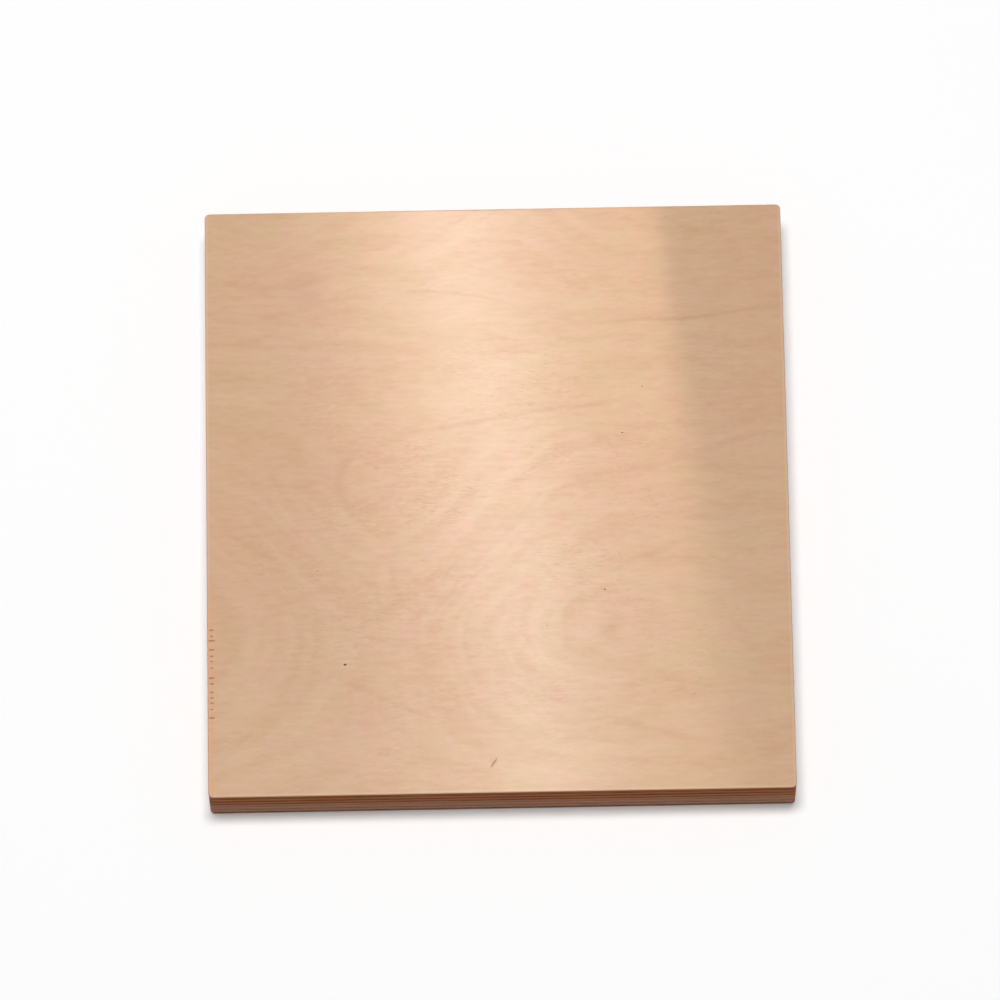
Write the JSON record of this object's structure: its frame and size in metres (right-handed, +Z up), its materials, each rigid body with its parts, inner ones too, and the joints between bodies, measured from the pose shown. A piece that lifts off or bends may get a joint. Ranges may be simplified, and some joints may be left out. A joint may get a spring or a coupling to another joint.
{
  "type": "plywood sheet",
  "caption": "Flat, nearly square plywood sheet with a pale birch face, small round corners and bare edges that show thin plies. A panel to cut, glue or screw down.",
  "frame": {"origin": "centre of the underside, on the floor that the sheet lies on", "axes": "+X along the grain of the face veneer, +Y across it and away from the front edge, +Z up through the plies"},
  "size_m": [0.18, 0.19, 0.018],
  "materials": {
    "birch_plywood": "sanded satin"
  },
  "bodies": {
    "root": {"plywood_sheet": "birch_plywood"}
  },
  "joints": []
}
